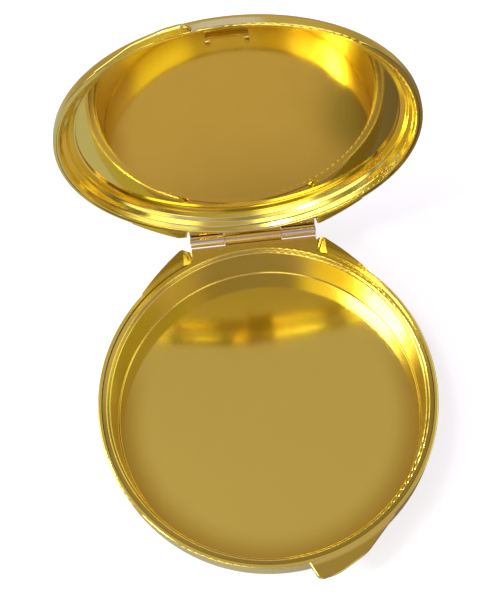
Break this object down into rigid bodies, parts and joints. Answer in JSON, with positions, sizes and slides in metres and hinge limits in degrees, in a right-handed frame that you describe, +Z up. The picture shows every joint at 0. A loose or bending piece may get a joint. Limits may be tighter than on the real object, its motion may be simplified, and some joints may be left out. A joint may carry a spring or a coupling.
{
  "type": "pyx",
  "caption": "Small round hinged case in polished plated brass, with a deep inner pan, a mirror-bright lid plate, a stepped rim and thumb tabs, for carrying hosts.",
  "frame": {"origin": "centre of the base's flat underside", "axes": "+Z up out of the pan, +Y towards the hinge, +X to the right as seen from the front"},
  "size_m": [0.054, 0.0661, 0.0656],
  "materials": {
    "case": "polished gold plate, satin on the outer band",
    "pan": "satin gold plate",
    "plate": "mirror-polished gold plate",
    "hinge": "polished gold plate"
  },
  "bodies": {
    "base": {"base_shell": "case", "base_pan": "pan", "base_hinge_leaf": "hinge", "hinge_pin": "hinge"},
    "lid": {"lid_shell": "case", "lid_bezel": "case", "lid_plate": "plate", "lid_hinge_leaf": "hinge", "lid_catch": "hinge"}
  },
  "joints": [
    {"name": "lid_hinge", "type": "hinge", "parent": "base", "child": "lid", "pos_m": [0.0005, 0.0278, 0.01045], "axis": [1, 0, 0], "range_deg": [-14, 96]}
  ]
}
